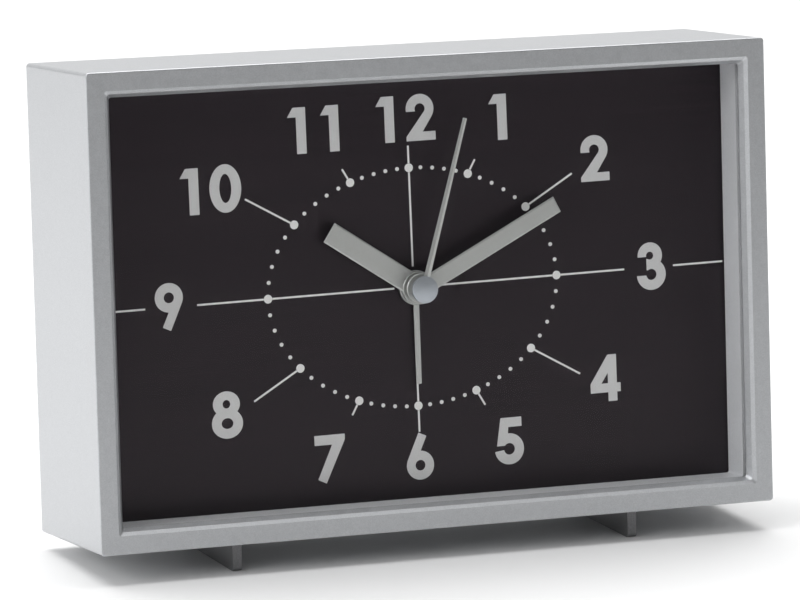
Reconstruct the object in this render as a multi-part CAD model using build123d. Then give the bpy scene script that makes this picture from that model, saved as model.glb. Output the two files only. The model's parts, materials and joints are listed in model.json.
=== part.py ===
"""Table clock: a silver rectangular case on two thin fins, a deep dark dial with four hands, and the
quartz alarm movement, battery, knobs and cover that such a clock has inside and at the back.

Lengths are in millimetres. Every piece is drawn with the clock upright: x to the right, y to the back from
the front of the bezel, z up from the bottom of the case. Movement pieces are drawn round the axis of the
hands. The whole clock is leant back onto its fins when the pieces are written."""
import os
from math import atan2, cos, degrees, hypot, radians, sin, sqrt, tan

from build123d import *

# Case
CASE_WIDTH = 152.7
CASE_HEIGHT = 100.0
CASE_DEPTH = 39.8
WALL = 2.2
LEAN = 4.5
OUTER_CORNER = 0.8
FRONT_EDGE = 0.3
BEZEL_FACE = 3.9
OPENING_CORNER = 0.5
BEVEL_INSET = 1.5
BEVEL_DEPTH = 1.9
BEVEL_FIRST_INSET = 0.75
BEVEL_FIRST_DEPTH = 0.6
SHEET_GAP = 0.2

# Layers behind the bezel, front to back
LENS_THICK = 2.0
SPACER_DEPTH = 8.4
SPACER_STEP_BACK = 0.3
SPACER_GROOVE = 0.4
SPACER_GROOVE_DEPTH = 0.8
DIAL_THICK = 0.5
SUPPORT_THICK = 2.0
COVER_THICK = 2.0
COVER_INSET = 0.5
CORNER_BLOCK = 9.0

# Fins
FIN_THICK = 2.0
FIN_APART = 90.0
FIN_SETBACK = 4.75
FIN_BACK = 35.0
FIN_DROP = 6.2
FIN_TIP_ROUND = 0.8

# Dial print
AXIS_ACROSS = -0.7
AXIS_HEIGHT = 50.1
DIAL_PRINT_TURN = 0.83
PRINT_THICK = 0.08
DOT_RING_HALF_WIDTH = 32.9
DOT_RING_HALF_HEIGHT = 25.4
HOUR_DOT = 1.85
MINUTE_DOT = 0.85
LINE_WIDTH = 0.4
DOT_MARGIN = 0.05
LINE_START = 4.4
DIAL_HOLE = 7.2

# Hands: angle clockwise from twelve on the print, length from the axis, width, depth of the front
ALARM_HAND_ANGLE = 180.0
ALARM_HAND_LENGTH = 20.55
HOUR_HAND_ANGLE = 304.2
HOUR_HAND_LENGTH = 23.6
HOUR_HAND_WIDTH = 4.7
MINUTE_HAND_ANGLE = 63.8
MINUTE_HAND_LENGTH = 35.5
MINUTE_HAND_WIDTH = 3.7
SECOND_HAND_ANGLE = 17.0
SECOND_HAND_LENGTH = 37.2
ALARM_HAND_FRONT = 11.1
HOUR_HAND_FRONT = 9.8
MINUTE_HAND_FRONT = 8.1
SECOND_HAND_FRONT = 6.3
CAP_FRONT = 5.45
HAND_THICK = 0.35
HAND_EDGE = 0.3
CAP_DIAMETER = 5.75
HUB_GRIP = 0.02

# Movement box, measured from the axis of the hands
MOVEMENT_HALF_WIDTH = 28.0
MOVEMENT_TOP = 26.0
MOVEMENT_BOTTOM = -31.0
MOVEMENT_FRONT_WALL = 1.0
MOVEMENT_WALL = 1.2
MOVEMENT_SPLIT = 28.4
MOVEMENT_BACK = 32.7
PARTITION_TOP = -14.2
PARTITION_THICK = 0.8

# Wheel layers and teeth
FIRST_LAYER = 16.5
LAYER_STEP = 1.2
GEAR_THICK = 0.8
RUNNING_GAP = 0.05
SECOND_ARBOR = 0.4
MINUTE_TUBE_WALL = 0.5
HOUR_TUBE_WALL = 0.65
ALARM_TUBE_WALL = 0.7
BUSHING_WALL = 1.0
ARBOR = 0.4
SET_SHAFT = 1.2
TRAIN_MODULE = 0.3
SECOND_WHEEL_MODULE = 0.35
SET_MODULE = 0.375
CENTRE_WHEEL_TEETH = 80
THIRD_WHEEL_TEETH = 75
SECOND_WHEEL_TEETH = 60
INTERMEDIATE_WHEEL_TEETH = 60
SMALL_PINION_TEETH = 10
INTERMEDIATE_PINION_TEETH = 12
CANNON_TEETH = 14
MINUTE_WHEEL_TEETH = 42
HOUR_WHEEL_TEETH = 40
ALARM_WHEEL_TEETH = 50
ALARM_PINION_TEETH = 30
THIRD_WHEEL_SIDE = 120.0
INTERMEDIATE_SIDE = 45.0
ROTOR_SIDE = 30.0
MINUTE_WHEEL_SIDE = 171.6
SET_SHAFT_SIDE = 219.4
ALARM_SHAFT_SIDE = -20.0

# Motor, board and battery
BRIDGE_FRONT = 27.0
BRIDGE_BACK = 28.0
BOARD_THICK = 0.9
STATOR_FRONT = 25.3
STATOR_THICK = 0.8
COIL_HEIGHT = 21.6
COIL_START = 9.5
COIL_LENGTH = 11.3
COIL_RADIUS = 2.5
CORE_WIDTH = 2.4
BUZZER_RADIUS = 9.0
BUZZER_FRONT = 25.2
BATTERY_RADIUS = 7.1
BATTERY_LENGTH = 50.5
BATTERY_NUB = 1.3
BATTERY_NUB_RADIUS = 2.6
BATTERY_DEPTH = 24.2
BATTERY_HEIGHT = -22.4
CONTACT_THICK = 0.5

# Controls at the back
KNOB_DIAMETER = 11.0
KNOB_FRONT = 33.2
KNOB_BACK = 38.3
KNOB_RIBS = 36
SWITCH_TRAVEL = 4.0
DOOR_TRAVEL = 12.0
WINDOW_HALF_WIDTH = 33.0
WINDOW_TOP = 29.0
WINDOW_BOTTOM = -36.0

# Values that follow from the ones above
LENS_FRONT = WALL
SPACER_FRONT = LENS_FRONT + LENS_THICK
DIAL_FRONT = SPACER_FRONT + SPACER_DEPTH
SUPPORT_FRONT = DIAL_FRONT + DIAL_THICK
SUPPORT_BACK = SUPPORT_FRONT + SUPPORT_THICK
COVER_BACK = CASE_DEPTH - COVER_INSET
COVER_FRONT = COVER_BACK - COVER_THICK
INSIDE_WIDTH = CASE_WIDTH - 2 * WALL
INSIDE_HEIGHT = CASE_HEIGHT - 2 * WALL
SHEET_WIDTH = INSIDE_WIDTH - 2 * SHEET_GAP
SHEET_HEIGHT = INSIDE_HEIGHT - 2 * SHEET_GAP
OPENING_WIDTH = CASE_WIDTH - 2 * (BEZEL_FACE + BEVEL_INSET)
OPENING_HEIGHT = CASE_HEIGHT - 2 * (BEZEL_FACE + BEVEL_INSET)
SPACER_OPENING_WIDTH = OPENING_WIDTH + 2 * SPACER_STEP_BACK
SPACER_OPENING_HEIGHT = OPENING_HEIGHT + 2 * SPACER_STEP_BACK
CASE_MIDDLE = CASE_HEIGHT / 2

FRONT_WALL_BACK = SUPPORT_BACK + MOVEMENT_FRONT_WALL
REAR_WALL_FRONT = MOVEMENT_BACK - MOVEMENT_WALL
BOARD_BACK = MOVEMENT_SPLIT + BOARD_THICK
MINUTE_BORE = SECOND_ARBOR + RUNNING_GAP
MINUTE_TUBE = MINUTE_BORE + MINUTE_TUBE_WALL
HOUR_BORE = MINUTE_TUBE + RUNNING_GAP
HOUR_TUBE = HOUR_BORE + HOUR_TUBE_WALL
ALARM_BORE = HOUR_TUBE + RUNNING_GAP
ALARM_TUBE = ALARM_BORE + ALARM_TUBE_WALL
BUSHING_BORE = ALARM_TUBE + RUNNING_GAP
BUSHING = BUSHING_BORE + BUSHING_WALL
PIVOT_HOLE = ARBOR + RUNNING_GAP


def slab(sketch, front, back):
    """The sketch, drawn as seen from the front, made solid between two depths."""
    return Plane.XZ * (Pos(0, 0, -back) * extrude(sketch, amount=back - front, dir=(0, 0, 1)))


def rod(radius, front, back, at=(0, 0)):
    """A round rod running front to back."""
    return slab(Pos(*at) * Circle(radius), front, back)


def tube(bore, radius, front, back, at=(0, 0)):
    """A round tube running front to back."""
    return slab(Pos(*at) * (Circle(radius) - Circle(bore)), front, back)


def block(left, right, front, back, bottom, top):
    """A rectangular block given by its six faces."""
    box = Box(right - left, back - front, top - bottom)
    return Pos((left + right) / 2, (front + back) / 2, (bottom + top) / 2) * box


def joined(pieces):
    """All the pieces fused into one shape."""
    whole = pieces[0]
    for piece in pieces[1:]:
        whole = whole + piece
    return whole


def group(pieces):
    """Separate solids kept together in one piece."""
    return Compound([solid for piece in pieces for solid in piece.solids()])


def polar(distance, side, start=(0, 0)):
    """A point at a distance and an angle, counted anticlockwise from the right as seen from the front."""
    return (start[0] + distance * cos(radians(side)), start[1] + distance * sin(radians(side)))


def on_axis(piece):
    """Moves a piece drawn round the axis of the hands to its place in the case."""
    return Pos(AXIS_ACROSS, 0, AXIS_HEIGHT) * piece


# Case, lens, spacer and fins

def case_shell():
    """The open box of the case with its bezel, bevelled opening and the holes for the foot screws."""
    outside = block(-CASE_WIDTH / 2, CASE_WIDTH / 2, 0, CASE_DEPTH, 0, CASE_HEIGHT)
    outside = fillet(outside.edges().filter_by(Axis.Y), OUTER_CORNER)
    outside = fillet(outside.faces().sort_by(Axis.Y)[0].edges(), FRONT_EDGE)
    inside = block(-INSIDE_WIDTH / 2, INSIDE_WIDTH / 2, WALL, CASE_DEPTH, WALL, CASE_HEIGHT - WALL)
    shell = outside - inside - slab(opening(BEVEL_INSET), 0, WALL)
    shell = shell - bevel(0, 0, BEVEL_FIRST_INSET, BEVEL_FIRST_DEPTH)
    shell = shell - bevel(BEVEL_FIRST_INSET, BEVEL_FIRST_DEPTH, BEVEL_INSET, BEVEL_DEPTH)
    for x, y in foot_screw_places():
        shell = shell - Pos(x, y, WALL / 2) * Cylinder(FOOT_SCREW_HOLE, WALL)
    return shell


def opening(inset):
    """The opening in the bezel, smaller by the inset on every side."""
    width = CASE_WIDTH - 2 * (BEZEL_FACE + inset)
    height = CASE_HEIGHT - 2 * (BEZEL_FACE + inset)
    return Pos(0, CASE_MIDDLE) * RectangleRounded(width, height, OPENING_CORNER)


def bevel(front_inset, front, back_inset, back):
    """The tapering part of the opening between two depths."""
    wide = Plane.XZ * (Pos(0, 0, -front) * opening(front_inset))
    narrow = Plane.XZ * (Pos(0, 0, -back) * opening(back_inset))
    return loft([wide, narrow])


def lens():
    """The flat clear plate clamped behind the bezel."""
    return sheet(LENS_FRONT, SPACER_FRONT)


def sheet(front, back):
    """A plate that fills the inside of the case."""
    return slab(Pos(0, CASE_MIDDLE) * Rectangle(SHEET_WIDTH, SHEET_HEIGHT), front, back)


def spacer_frame():
    """The silver inner wall between the lens and the dial, with a narrow groove next to the dial."""
    clear = RectangleRounded(SPACER_OPENING_WIDTH, SPACER_OPENING_HEIGHT, OPENING_CORNER)
    groove = RectangleRounded(
        SPACER_OPENING_WIDTH + 2 * SPACER_GROOVE, SPACER_OPENING_HEIGHT + 2 * SPACER_GROOVE, OPENING_CORNER
    )
    frame = sheet(SPACER_FRONT, DIAL_FRONT)
    frame = frame - slab(Pos(0, CASE_MIDDLE) * clear, SPACER_FRONT, DIAL_FRONT)
    return frame - slab(Pos(0, CASE_MIDDLE) * groove, DIAL_FRONT - SPACER_GROOVE_DEPTH, DIAL_FRONT)


def dial_face():
    """The dark sheet with its hole for the bushing of the movement."""
    return sheet(DIAL_FRONT, SUPPORT_FRONT) - on_axis(rod(DIAL_HOLE / 2, DIAL_FRONT, SUPPORT_FRONT))


LUG_SIDE = 31.0
LUG_FRONT = 19.1
LUG_THICK = 1.6
LUG_SCREW = 0.75
LUG_SCREW_TIP = 14.2
SUPPORT_BOSS = 2.6


def dial_support():
    """The moulded plate behind the dial, with the two bosses that carry the movement."""
    plate = sheet(SUPPORT_FRONT, SUPPORT_BACK)
    plate = plate - on_axis(rod(BUSHING + SHEET_GAP, SUPPORT_FRONT, SUPPORT_BACK))
    for side in (-1, 1):
        place = (side * LUG_SIDE, 0)
        plate = plate + on_axis(rod(SUPPORT_BOSS, SUPPORT_BACK, LUG_FRONT, place))
        plate = plate - on_axis(rod(LUG_SCREW + HUB_GRIP, LUG_SCREW_TIP, LUG_FRONT, place))
    return plate


def corner_blocks():
    """Four blocks glued in the corners; they press the dial forward and take the cover's screws."""
    blocks = []
    for x, z in cover_screw_places():
        half = CORNER_BLOCK / 2
        body = block(x - half, x + half, SUPPORT_BACK, COVER_FRONT, z - half, z + half)
        blocks.append(body - rod(COVER_SCREW + HUB_GRIP, COVER_SCREW_TIP, COVER_FRONT, (x, z)))
    return group(blocks)


COVER_SCREW = 1.1
COVER_SCREW_HEAD = 2.3
COVER_SCREW_HEAD_DEPTH = 1.4
COVER_SCREW_TIP = 28.0
SCREW_SLOT = 0.5
SCREW_SLOT_DEPTH = 0.5


def cover_screw_places():
    """The middles of the corner blocks."""
    x = (INSIDE_WIDTH - CORNER_BLOCK) / 2
    z = (INSIDE_HEIGHT - CORNER_BLOCK) / 2
    return [(sx * x, CASE_MIDDLE + sz * z) for sx in (-1, 1) for sz in (-1, 1)]


def screw_slots(head_back, radius, at):
    """The cross recess cut into a screw's head."""
    cross = Rectangle(2 * radius * 0.7, SCREW_SLOT) + Rectangle(SCREW_SLOT, 2 * radius * 0.7)
    return slab(Pos(*at) * cross, head_back - SCREW_SLOT_DEPTH, head_back)


def countersunk(radius, head, at):
    """The sunk head of a cover screw, widening to the back face of the cover."""
    front = COVER_BACK - COVER_SCREW_HEAD_DEPTH
    narrow = Plane.XZ * (Pos(at[0], at[1], -front) * Circle(radius))
    wide = Plane.XZ * (Pos(at[0], at[1], -COVER_BACK) * Circle(head))
    return loft([narrow, wide])


def cover_screws():
    """Four countersunk screws flush with the back of the cover."""
    screws = []
    for at in cover_screw_places():
        screw = rod(COVER_SCREW, COVER_SCREW_TIP, COVER_BACK, at) + countersunk(COVER_SCREW, COVER_SCREW_HEAD, at)
        screws.append(screw - screw_slots(COVER_BACK, COVER_SCREW_HEAD, at))
    return group(screws)


def rear_cover():
    """The flat back, inset between the walls, with a window over the back of the movement."""
    cover = sheet(COVER_FRONT, COVER_BACK)
    cover = cover - on_axis(
        block(-WINDOW_HALF_WIDTH, WINDOW_HALF_WIDTH, COVER_FRONT, COVER_BACK, WINDOW_BOTTOM, WINDOW_TOP)
    )
    near_window = WINDOW_HALF_WIDTH + 1
    corners = cover.edges().filter_by(Axis.Y).filter_by_position(Axis.X, -near_window, near_window)
    cover = fillet(corners, WINDOW_CORNER)
    for at in cover_screw_places():
        cover = cover - rod(COVER_SCREW + HUB_GRIP, COVER_FRONT, COVER_BACK, at)
        cover = cover - countersunk(COVER_SCREW + HUB_GRIP, COVER_SCREW_HEAD + HUB_GRIP, at)
    return cover


WINDOW_CORNER = 2.5
FOOT_SCREW = 0.6
FOOT_SCREW_HOLE = 0.7
FOOT_SCREW_HEAD = 1.6
FOOT_SCREW_HEAD_HEIGHT = 1.0
FOOT_SCREW_REACH = 2.5
FOOT_SCREW_DEPTHS = (19.0, 32.0)


def foot_screw_places():
    """Where the foot screws stand, two to a fin."""
    return [(side * FIN_APART / 2, y) for side in (-1, 1) for y in FOOT_SCREW_DEPTHS]


def foot_fin(side):
    """One fin: a thin plate whose bottom edge is flat on the table when the clock leans back."""
    rise = (FIN_BACK - FIN_SETBACK) * tan(radians(LEAN))
    outline = Polygon(
        (FIN_SETBACK, 0), (FIN_SETBACK, -FIN_DROP), (FIN_BACK, rise - FIN_DROP), (FIN_BACK, 0), align=None
    )
    lower = outline.vertices().sort_by(Axis.Y)[:2]
    outline = fillet(lower, FIN_TIP_ROUND)
    plate = Plane.YZ * (Pos(0, 0, -FIN_THICK / 2) * extrude(outline, amount=FIN_THICK))
    for y in FOOT_SCREW_DEPTHS:
        depth = FOOT_SCREW_REACH + FOOT_SCREW_HOLE
        plate = plate - Pos(0, y, -depth / 2) * Cylinder(FOOT_SCREW + HUB_GRIP, depth)
    return Pos(side * FIN_APART / 2, 0, 0) * plate


def foot_screws():
    """Four thin screws from inside the case down into the fins."""
    screws = []
    for x, y in foot_screw_places():
        length = WALL + FOOT_SCREW_REACH
        shank = Pos(x, y, WALL - length / 2) * Cylinder(FOOT_SCREW, length)
        head = Pos(x, y, WALL + FOOT_SCREW_HEAD_HEIGHT / 2) * Cylinder(FOOT_SCREW_HEAD, FOOT_SCREW_HEAD_HEIGHT)
        slot = Box(2 * FOOT_SCREW_HEAD, SCREW_SLOT, SCREW_SLOT_DEPTH)
        top = WALL + FOOT_SCREW_HEAD_HEIGHT - SCREW_SLOT_DEPTH / 2
        screws.append(shank + head - Pos(x, y, top) * slot)
    return group(screws)


# Numbers, dots and lines on the dial

def glyph_1():
    """Figure one, drawn from its lower left corner."""
    return Polygon((4.1, 9.8), (1.3, 9.8), (0, 7.75), (1.95, 7.75), (1.95, 0), (4.1, 0), align=None)


def glyph_2():
    """Figure two: an open bowl, a straight diagonal and a flat foot."""
    middle = (3.2, 6.75)
    bowl = Pos(*middle) * (Circle(3.15) - Circle(1.15))
    below = Polygon((3.2, 6.25), middle, (7.44, 4.1), (7.44, -1), (-1, -1), (-1, 6.25), align=None)
    foot = Polygon((5.86, 5.07), (3.7, 1.85), (6.6, 1.85), (6.6, 0), (0, 0), (0, 0.95), (4.17, 6.14), align=None)
    return bowl - below + foot


def glyph_3():
    """Figure three: two discs with holes that open to the left."""
    discs = Pos(3.4, 3.38) * Circle(3.38) + Pos(3.2, 7.45) * Circle(2.85)
    holes = Pos(3.15, 7.43) * Circle(0.85) + Pos(3.4, 3.35) * Circle(1.2)
    gap = Polygon((-1, 3.2), (2.36, 3.2), (2.36, 7.2), (-1, 7.2), align=None)
    throat = Polygon((2.3, 3.2), (3.4, 3.2), (3.4, 4.3), (2.3, 4.3), align=None)
    upper_throat = Polygon((2.3, 6.75), (3.15, 6.75), (3.15, 7.2), (2.3, 7.2), align=None)
    return discs - holes - gap - throat - upper_throat


def glyph_4():
    """Figure four with its closed triangle."""
    outline = Polygon(
        (0, 1.95), (4.1, 1.95), (4.1, 0), (6.15, 0), (6.15, 1.95), (7, 1.95), (7, 3.9), (6.15, 3.9),
        (6.15, 10.1), (4.15, 10.1), (0, 3.95), align=None
    )
    return outline - Polygon((4.1, 6.2), (4.1, 3.9), (2.5, 3.9), align=None)


def glyph_5():
    """Figure five: a disc with a hole open to the left and a slanting stem."""
    middle = (3.5, 3.35)
    disc = Pos(*middle) * (Circle(3.35) - Circle(1.25))
    gap = Polygon((-1, 2.75), middle, (3.5, 4.1), (-1, 4.1), align=None)
    beside_stem = Polygon((-1, 4.1), (0.67, 4.1), (1.7, 10.1), (-1, 10.1), align=None)
    stem = Polygon(
        (1.7, 10.1), (6.48, 10.1), (6.48, 8.07), (3.4, 8.07), (3.25, 6.6), (3.5, 5.5), (2.4, 4.1), (0.67, 4.1),
        align=None
    )
    return disc - gap - beside_stem + stem


def glyph_6():
    """Figure six: a ring with a straight stem."""
    middle = (3.1, 3.1)
    stem = Polygon((0.29, 4.4), (2.93, 10.1), (4.69, 9.29), (2.2, 3.9), align=None)
    return Pos(*middle) * Circle(3.1) + stem - Pos(*middle) * Circle(1.13)


def glyph_7():
    """Figure seven."""
    return Polygon((0, 10.3), (6.84, 10.3), (6.84, 9.1), (2.35, 0), (0.51, 0.91), (3.95, 8.2), (0, 8.2), align=None)


def glyph_8():
    """Figure eight: two ovals, each with a hole."""
    ovals = Pos(3.46, 3.2) * Ellipse(3.46, 3.2) + Pos(3.4, 7.29) * Ellipse(3.0, 2.72)
    return ovals - Pos(3.46, 3.2) * Ellipse(1.31, 1.14) - Pos(3.4, 7.29) * Ellipse(0.86, 0.9)


def glyph_9():
    """Figure nine, the six turned over."""
    return Rot(0, 0, 180) * glyph_6()


def glyph_0():
    """Figure nought."""
    return Ellipse(3.525, 5.1) - Ellipse(1.34, 3.05)


GLYPHS = (glyph_0, glyph_1, glyph_2, glyph_3, glyph_4, glyph_5, glyph_6, glyph_7, glyph_8, glyph_9)
DIGIT_GAPS = {10: 2.4, 11: 3.3, 12: 2.7}
NUMERAL_PLACES = {
    1: (20.74, 34.76), 2: (42.79, 24.44), 3: (55.03, 0.22), 4: (43.36, -23.14), 5: (20.48, -34.77),
    6: (-0.1, -36.21), 7: (-20.46, -35.02), 8: (-43.15, -23.67), 9: (-54.88, 0.09), 10: (-44.57, 23.99),
    11: (-21.17, 34.94), 12: (-0.3, 35.94),
}


def at_corner(sketch):
    """A sketch moved so that its lower left corner is at the origin."""
    box = sketch.bounding_box()
    return Pos(-box.min.X, -box.min.Y) * sketch


def numeral(hour):
    """The one or two figures of an hour, centred on the origin."""
    figures = [at_corner(GLYPHS[int(digit)]()) for digit in str(hour)]
    whole = figures[0]
    if len(figures) == 2:
        whole = whole + Pos(whole.bounding_box().max.X + DIGIT_GAPS[hour], 0) * figures[1]
    box = whole.bounding_box()
    return Pos(-(box.min.X + box.max.X) / 2, -(box.min.Y + box.max.Y) / 2) * whole


def printed(sketches):
    """Thin raised print on the dial, turned with the whole of the print."""
    solids = [slab(sketch, DIAL_FRONT - PRINT_THICK, DIAL_FRONT) for sketch in sketches]
    return group([on_axis(Rot(0, -DIAL_PRINT_TURN, 0) * solid) for solid in solids])


def dot_radius(angle):
    """How far out the oval ring of dots is, for an angle clockwise from twelve."""
    across = sin(radians(angle)) / DOT_RING_HALF_WIDTH
    upward = cos(radians(angle)) / DOT_RING_HALF_HEIGHT
    return 1 / sqrt(across * across + upward * upward)


def dot(minute, diameter):
    """One dot of the ring."""
    angle = 6 * minute
    return Pos(*polar(dot_radius(angle), 90 - angle)) * Circle(diameter / 2)


def dial_numerals():
    """The numbers 1 to 12."""
    return printed([Pos(*NUMERAL_PLACES[hour]) * numeral(hour) for hour in NUMERAL_PLACES])


def dial_hour_dots():
    """A large dot at each hour."""
    return printed([dot(minute, HOUR_DOT) for minute in range(0, 60, 5)])


def dial_minute_dots():
    """A small dot at each minute between the hours."""
    return printed([dot(minute, MINUTE_DOT) for minute in range(60) if minute % 5])


LINE_ENDS = {
    1: 30.2, 2: 43.1, 4: 43.3, 5: 30.6, 6: 31.0, 7: 30.2, 8: 42.7, 10: 42.8, 11: 30.2, 12: 30.1,
}
LEVEL_LINE_BREAK = 48.7
LEVEL_LINE_AGAIN = 60.2
LEVEL_LINE_CLEARANCE = 0.1
LEVEL_LINE_ENDS = {
    3: SPACER_OPENING_WIDTH / 2 - AXIS_ACROSS - LEVEL_LINE_CLEARANCE,
    9: SPACER_OPENING_WIDTH / 2 + AXIS_ACROSS - LEVEL_LINE_CLEARANCE,
}


def radial_line(hour, start, end):
    """A thin straight line along an hour's direction."""
    angle = 90 - 30 * hour
    line = Pos((start + end) / 2, 0) * Rectangle(end - start, LINE_WIDTH)
    return Rot(0, 0, angle) * line


def dial_lines():
    """The thin lines: a cross through the middle, and a short one outward from every other hour."""
    lines = []
    for hour in range(1, 13):
        dot_edge = HOUR_DOT / 2 + DOT_MARGIN
        ring = dot_radius(30 * hour)
        if hour % 3 == 0:
            lines.append(radial_line(hour, LINE_START, ring - dot_edge))
        if hour in LINE_ENDS:
            lines.append(radial_line(hour, ring + dot_edge, LINE_ENDS[hour]))
        else:
            lines.append(radial_line(hour, ring + dot_edge, LEVEL_LINE_BREAK))
            lines.append(radial_line(hour, LEVEL_LINE_AGAIN, LEVEL_LINE_ENDS[hour]))
    return printed(lines)


# Hands

def turned_hand(piece, angle):
    """A hand drawn at twelve, turned clockwise to its place on the print."""
    return on_axis(Rot(0, angle - DIAL_PRINT_TURN, 0) * piece)


def flat_blade(length, width, front):
    """A flat strip from the axis to a square tip, with narrow sloping edges."""
    back = front + HAND_THICK
    middle = front + HAND_THICK / 2
    outline = Pos(0, length / 2) * Rectangle(width, length)
    slope = degrees(atan2(HAND_EDGE, middle - front))
    top = Plane.XZ * (Pos(0, 0, -middle) * extrude(outline, amount=middle - front, taper=slope))
    return slab(outline, middle, back) + top


def ridged_blade(length, root_width, tip_width, front):
    """A narrow tapering blade with a ridge down its middle."""
    back = front + HAND_THICK
    side = front + HAND_THICK * 0.65

    def section(width):
        half = width / 2
        return Polygon((-half, back), (half, back), (half, side), (0, front), (-half, side), align=None)

    return loft([section(root_width), Pos(0, 0, length) * section(tip_width)])


def hub(bore, radius, front, collar, collar_back):
    """The round middle of a hand and the collar behind it that grips the tube."""
    disc = tube(bore, radius, front - HUB_PROUD, front + HAND_THICK)
    edge = disc.faces().sort_by(Axis.Y)[0].outer_wire().edges()
    return chamfer(edge, HUB_CHAMFER) + tube(bore, collar, front + HAND_THICK, collar_back)


HUB_PROUD = 0.1
HUB_CHAMFER = 0.12
ALARM_HUB = 3.7
HOUR_HUB = 3.5
MINUTE_HUB = 3.25
SECOND_HUB = 1.6
COLLAR_WALL = 0.5
COLLAR_LENGTH = 0.8
ALARM_ROOT_WIDTH = 1.25
ALARM_TIP_WIDTH = 1.0
SECOND_ROOT_WIDTH = 1.4
SECOND_TIP_WIDTH = 0.9


def hollow_hand(blade, bore, hub_radius, front):
    """A blade on a hub that is pressed onto a tube."""
    collar_back = front + HAND_THICK + COLLAR_LENGTH
    centre = hub(bore, hub_radius, front, bore + COLLAR_WALL, collar_back)
    return centre + (blade - rod(hub_radius - HAND_EDGE, front - 1, collar_back))


def alarm_hand():
    """The short thin hand that shows the alarm time."""
    blade = ridged_blade(ALARM_HAND_LENGTH, ALARM_ROOT_WIDTH, ALARM_TIP_WIDTH, ALARM_HAND_FRONT)
    bore = ALARM_TUBE + HUB_GRIP
    collar_back = ALARM_HAND_FRONT + HAND_THICK + HUB_PROUD
    centre = hub(bore, ALARM_HUB, ALARM_HAND_FRONT, ALARM_HUB - COLLAR_WALL, collar_back)
    inner = rod(ALARM_HUB - HAND_EDGE, ALARM_HAND_FRONT - 1, ALARM_HAND_FRONT + 1)
    return turned_hand(centre + (blade - inner), ALARM_HAND_ANGLE)


def hour_hand():
    """The broad short hand."""
    blade = flat_blade(HOUR_HAND_LENGTH, HOUR_HAND_WIDTH, HOUR_HAND_FRONT)
    return turned_hand(hollow_hand(blade, HOUR_TUBE + HUB_GRIP, HOUR_HUB, HOUR_HAND_FRONT), HOUR_HAND_ANGLE)


def minute_hand():
    """The broad long hand."""
    blade = flat_blade(MINUTE_HAND_LENGTH, MINUTE_HAND_WIDTH, MINUTE_HAND_FRONT)
    hand = hollow_hand(blade, MINUTE_TUBE + HUB_GRIP, MINUTE_HUB, MINUTE_HAND_FRONT)
    return turned_hand(hand, MINUTE_HAND_ANGLE)


def second_hand():
    """The long thin hand under the cap."""
    blade = ridged_blade(SECOND_HAND_LENGTH, SECOND_ROOT_WIDTH, SECOND_TIP_WIDTH, SECOND_HAND_FRONT)
    bore = SECOND_ARBOR + HUB_GRIP
    back = SECOND_HAND_FRONT + HAND_THICK
    collar = tube(bore, SECOND_HUB - COLLAR_WALL, back, back + COLLAR_LENGTH)
    centre = tube(bore, SECOND_HUB, SECOND_HAND_FRONT, back) + collar
    return turned_hand(centre + (blade - rod(SECOND_HUB / 2, SECOND_HAND_FRONT - 1, back)), SECOND_HAND_ANGLE)


CAP_DOME = 0.3


def second_hand_cap():
    """The slightly domed round cap over the middle of the hands."""
    radius = CAP_DIAMETER / 2
    rim = CAP_FRONT + CAP_DOME
    dome_radius = (radius * radius + CAP_DOME * CAP_DOME) / (2 * CAP_DOME)
    ball = Pos(0, CAP_FRONT + dome_radius, 0) * Sphere(dome_radius)
    dome = rod(radius, CAP_FRONT, rim) & ball
    body = rod(radius, rim, SECOND_HAND_FRONT)
    return turned_hand(dome + body, SECOND_HAND_ANGLE)


# Wheels of the movement

def gear_outline(teeth, module, turn):
    """A toothed outline with one tooth centred at the angle given."""
    pitch_radius = teeth * module / 2
    half_tooth = 180 / teeth
    root = pitch_radius - 1.1 * module
    tip = pitch_radius + 0.75 * module
    corners = []
    for tooth in range(teeth):
        middle = turn + 2 * half_tooth * tooth
        for radius, share in (
            (root, -0.5), (pitch_radius, -0.38), (tip, -0.2), (tip, 0.2), (pitch_radius, 0.38), (root, 0.5)
        ):
            corners.append(polar(radius, middle + share * half_tooth))
    return Polygon(*corners, align=None)


def meshing_turn(first_turn, first_teeth, second_teeth, side):
    """The turn of a second gear, placed on the given side of the first, that lets the teeth fit."""
    return side + 180 + 180 / second_teeth + (side - first_turn) * first_teeth / second_teeth


def layer(number):
    """The front of one of the flat layers the wheels lie in, counted from the front."""
    return FIRST_LAYER + LAYER_STEP * number


def toothed(teeth, module, turn, number, at=(0, 0), bore=0):
    """A toothed disc in its layer."""
    outline = gear_outline(teeth, module, turn)
    if bore:
        outline = outline - Circle(bore)
    return slab(Pos(*at) * outline, layer(number), layer(number) + GEAR_THICK)


def centre_distance(module, first_teeth, second_teeth):
    """How far apart two meshing gears stand."""
    return module * (first_teeth + second_teeth) / 2


THIRD_DISTANCE = centre_distance(TRAIN_MODULE, THIRD_WHEEL_TEETH, SMALL_PINION_TEETH)
THIRD_AT = polar(THIRD_DISTANCE, THIRD_WHEEL_SIDE)
CENTRE_MODULE = 2 * THIRD_DISTANCE / (CENTRE_WHEEL_TEETH + SMALL_PINION_TEETH)
INTERMEDIATE_DISTANCE = centre_distance(SECOND_WHEEL_MODULE, SECOND_WHEEL_TEETH, INTERMEDIATE_PINION_TEETH)
INTERMEDIATE_AT = polar(INTERMEDIATE_DISTANCE, INTERMEDIATE_SIDE)
ROTOR_DISTANCE = centre_distance(TRAIN_MODULE, INTERMEDIATE_WHEEL_TEETH, SMALL_PINION_TEETH)
ROTOR_AT = polar(ROTOR_DISTANCE, ROTOR_SIDE, INTERMEDIATE_AT)
MINUTE_WHEEL_DISTANCE = centre_distance(SET_MODULE, CANNON_TEETH, MINUTE_WHEEL_TEETH)
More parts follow.
